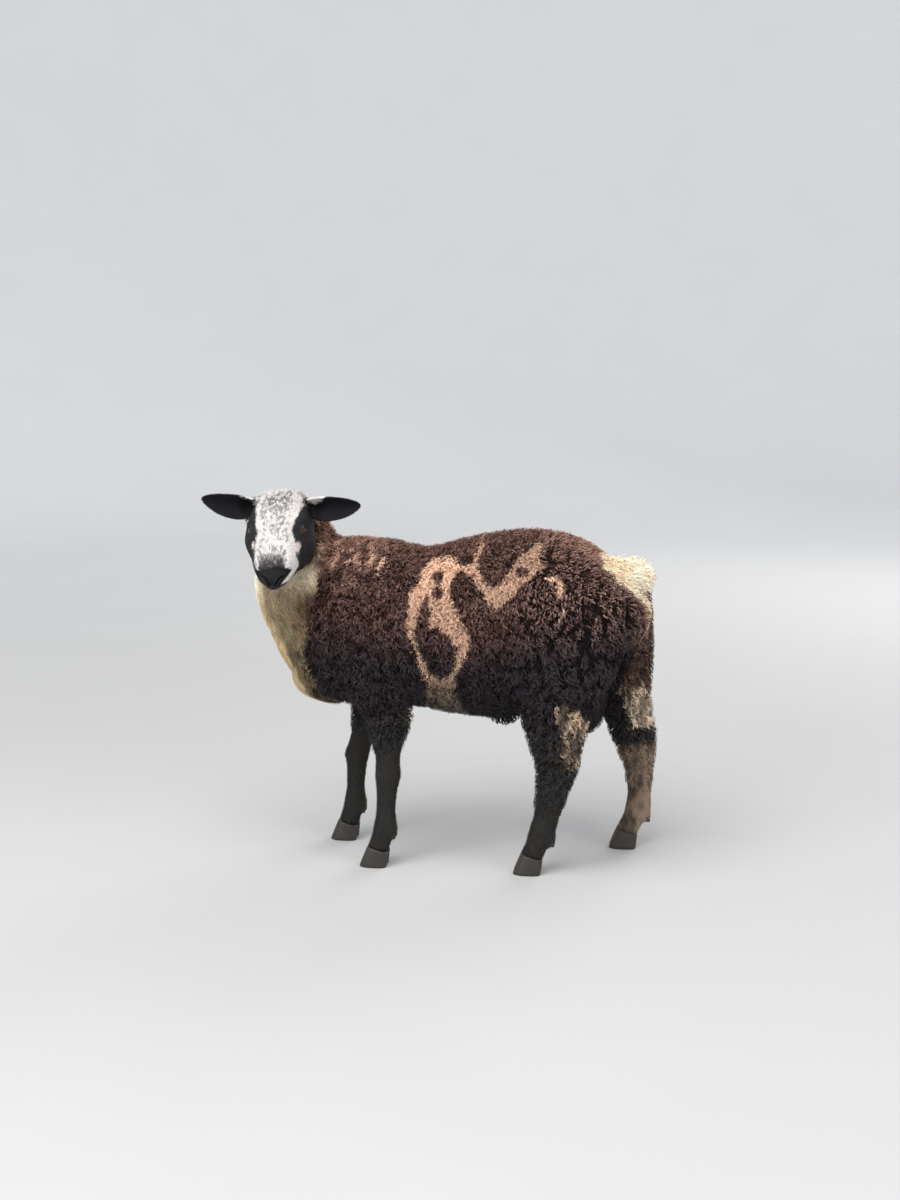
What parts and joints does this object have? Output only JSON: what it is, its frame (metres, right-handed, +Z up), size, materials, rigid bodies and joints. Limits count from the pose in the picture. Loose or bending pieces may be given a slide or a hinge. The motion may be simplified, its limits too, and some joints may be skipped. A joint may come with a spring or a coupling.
{
  "type": "dutch spotted ram lamb model",
  "caption": "Life-size still model of a spotted ram lamb standing on its hooves, head turned to its left to face the viewer, in a curly fleece with pale markings.",
  "frame": {"origin": "on the floor, under the middle of the lamb's bounding box", "axes": "+Z up; the lamb stands along X with its chest towards -X and its tail towards +X; its left side is towards -Y, and its face looks to -Y"},
  "size_m": [0.8498, 0.3698, 0.713],
  "materials": {
    "brown_fleece": "dark reddish-brown curly fleece with pinkish-tan patches",
    "cream_fleece": "cream curly fleece",
    "black_hair": "short flat black hair",
    "white_hair": "short flat white hair with grey flecks",
    "mottled_hair": "short brown and black mottled hair",
    "dark_horn": "dull dark hoof horn",
    "dark_eye": "wet dark amber eye"
  },
  "bodies": {
    "root": {"torso": "brown_fleece", "neck": "cream_fleece", "tail": "cream_fleece", "head": "white_hair", "ear_left": "black_hair", "ear_right": "black_hair", "eye_left": "dark_eye", "eye_right": "dark_eye", "scrotum": "black_hair", "foreleg_left": "black_hair", "foreleg_right": "black_hair", "thigh_left": "brown_fleece", "thigh_right": "brown_fleece", "shank_left": "mottled_hair", "shank_right": "mottled_hair", "claw_fore_left_inner": "dark_horn", "claw_fore_left_outer": "dark_horn", "claw_fore_right_inner": "dark_horn", "claw_fore_right_outer": "dark_horn", "claw_hind_left_inner": "dark_horn", "claw_hind_left_outer": "dark_horn", "claw_hind_right_inner": "dark_horn", "claw_hind_right_outer": "dark_horn", "dewclaw_fore_left_inner": "dark_horn", "dewclaw_fore_left_outer": "dark_horn", "dewclaw_fore_right_inner": "dark_horn", "dewclaw_fore_right_outer": "dark_horn", "dewclaw_hind_left_inner": "dark_horn", "dewclaw_hind_left_outer": "dark_horn", "dewclaw_hind_right_inner": "dark_horn", "dewclaw_hind_right_outer": "dark_horn"}
  },
  "joints": []
}
